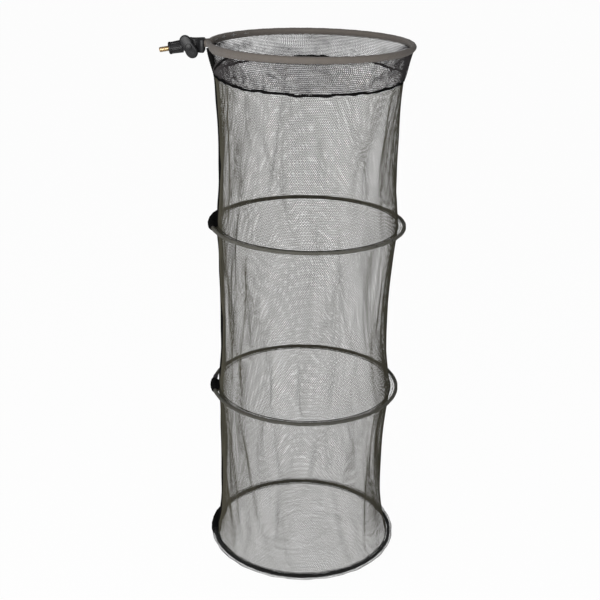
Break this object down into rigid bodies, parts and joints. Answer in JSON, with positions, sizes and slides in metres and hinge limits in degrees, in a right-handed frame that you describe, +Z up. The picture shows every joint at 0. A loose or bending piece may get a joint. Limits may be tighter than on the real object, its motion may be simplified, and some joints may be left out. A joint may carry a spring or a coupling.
{
  "type": "keep net",
  "caption": "Round angling keep net: netting bays on hoops, hung from a covered top ring with a tilting clamp head and a threaded brass stud.",
  "frame": {"origin": "on the stud's axis, at the shoulder of the holder that a bank stick seats against", "axes": "+X from the stud towards the rings' axis, +Z up along the hanging net, +Y away from the wing knob"},
  "size_m": [0.4491, 0.365, 0.9941],
  "materials": {
    "alloy_tube": "satin drawn tube",
    "ring_sleeve_cloth": "taupe woven sleeve",
    "black_nylon": "moulded, slightly grained",
    "knob_nylon": "moulded, smoother than the head",
    "zinc_steel": "zinc plated",
    "fibre_washer": "fibre",
    "brass": "turned brass",
    "hem_cloth": "doubled fine netting",
    "seam_binding": "black stitched binding",
    "netting": "fine hexagonal knitted mesh",
    "coated_rod": "extruded rod",
    "ferrule_plastic": "moulded",
    "hoop_sleeve_cloth": "grey-green woven tape"
  },
  "bodies": {
    "ring_head": {"top_ring_tube": "alloy_tube", "top_ring_sleeve": "ring_sleeve_cloth", "ring_head_block": "black_nylon", "ring_end_screw_near": "zinc_steel", "ring_end_screw_far": "zinc_steel", "hinge_bolt": "zinc_steel", "friction_washer_near": "fibre_washer", "friction_washer_far": "fibre_washer", "knob_washer": "zinc_steel", "hem_band": "hem_cloth", "seam_cord": "seam_binding", "notch_binding": "seam_binding", "net_bay_1": "netting", "side_seam_1": "seam_binding"},
    "stud": {"stud_holder": "black_nylon", "brass_stud": "brass"},
    "knob": {"wing_knob": "knob_nylon", "knob_insert": "brass"},
    "ring_2": {"ring_2_hoop": "coated_rod", "ring_2_ferrule": "ferrule_plastic", "ring_2_sleeve": "hoop_sleeve_cloth", "net_bay_2": "netting", "side_seam_2": "seam_binding"},
    "ring_3": {"ring_3_hoop": "coated_rod", "ring_3_ferrule": "ferrule_plastic", "ring_3_sleeve": "hoop_sleeve_cloth", "net_bay_3": "netting", "side_seam_3": "seam_binding"},
    "base": {"base_hoop": "coated_rod", "base_ferrule": "ferrule_plastic", "base_sleeve": "hoop_sleeve_cloth", "base_net": "netting"}
  },
  "joints": [
    {"name": "head_tilt", "type": "hinge", "parent": "ring_head", "child": "stud", "pos_m": [0.03693, 0, 0.00651], "axis": [0, 1, 0], "range_deg": [-80, 100]},
    {"name": "knob_turn", "type": "hinge", "parent": "ring_head", "child": "knob", "pos_m": [0.03693, 0, 0.00651], "axis": [0, -1, 0], "range_deg": [0, 360]},
    {"name": "ring_2_slide", "type": "slide", "parent": "ring_head", "child": "ring_2", "axis": [0, 0, 1], "range_m": [0, 0.3], "deforming": ["hem_band", "seam_cord", "notch_binding", "net_bay_1", "side_seam_1"]},
    {"name": "ring_3_slide", "type": "slide", "parent": "ring_2", "child": "ring_3", "axis": [0, 0, 1], "range_m": [0, 0.3], "deforming": ["net_bay_2", "side_seam_2"]},
    {"name": "base_slide", "type": "slide", "parent": "ring_3", "child": "base", "axis": [0, 0, 1], "range_m": [0, 0.3], "deforming": ["net_bay_3", "side_seam_3"]}
  ]
}
